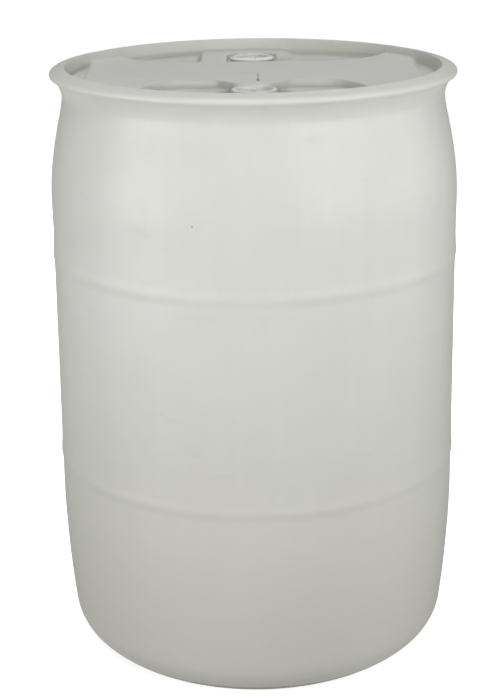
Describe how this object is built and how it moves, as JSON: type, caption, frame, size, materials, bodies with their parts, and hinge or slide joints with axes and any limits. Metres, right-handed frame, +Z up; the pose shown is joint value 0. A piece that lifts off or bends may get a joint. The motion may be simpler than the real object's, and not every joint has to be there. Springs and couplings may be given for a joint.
{
  "type": "plastic tight-head drum",
  "caption": "Tall moulded plastic drum with a closed head inside a handling ring, low rolling hoops and screw bungs on the head.",
  "frame": {"origin": "centre of the foot, on the floor", "axes": "+Z up along the drum's axis; the bungs lie on the Y axis, the fine-thread one at -Y (front), the coarse-thread one at +Y"},
  "size_m": [0.6072, 0.6072, 0.889],
  "materials": {
    "shell": "natural milky polyethylene, satin, slightly translucent",
    "bung": "white moulded plastic, satin",
    "seal": "pale matte rubber"
  },
  "bodies": {
    "drum": {"drum_body": "shell"},
    "fine_seal": {"fine_bung_gasket": "seal"},
    "fine_bung": {"fine_thread_bung": "bung"},
    "coarse_seal": {"coarse_bung_gasket": "seal"},
    "coarse_bung": {"coarse_thread_bung": "bung"},
    "reducer_seal": {"reducer_gasket": "seal"},
    "reducer": {"reducer_plug": "bung"}
  },
  "joints": [
    {"name": "fine_bung_lift", "type": "slide", "parent": "drum", "child": "fine_seal", "axis": [0, 0, 1], "range_m": [0, 0.01546]},
    {"name": "fine_bung_turn", "type": "hinge", "parent": "fine_seal", "child": "fine_bung", "pos_m": [0, -0.16, 0.87], "axis": [0, 0, 1], "range_deg": [0, 2520]},
    {"name": "coarse_bung_lift", "type": "slide", "parent": "drum", "child": "coarse_seal", "axis": [0, 0, 1], "range_m": [0, 0.01524]},
    {"name": "coarse_bung_turn", "type": "hinge", "parent": "coarse_seal", "child": "coarse_bung", "pos_m": [0, 0.16, 0.87], "axis": [0, 0, 1], "range_deg": [0, 1080]},
    {"name": "reducer_lift", "type": "slide", "parent": "coarse_bung", "child": "reducer_seal", "axis": [0, 0, 1], "range_m": [0, 0.01089]},
    {"name": "reducer_turn", "type": "hinge", "parent": "reducer_seal", "child": "reducer", "pos_m": [0, 0.16, 0.87], "axis": [0, 0, 1], "range_deg": [0, 2160]}
  ],
  "couplings": [
    {"joint": "fine_bung_turn", "follows": "fine_bung_lift", "rad_per_m": 2844.7},
    {"joint": "coarse_bung_turn", "follows": "coarse_bung_lift", "rad_per_m": 1236.8},
    {"joint": "reducer_turn", "follows": "reducer_lift", "rad_per_m": 3463.2}
  ]
}
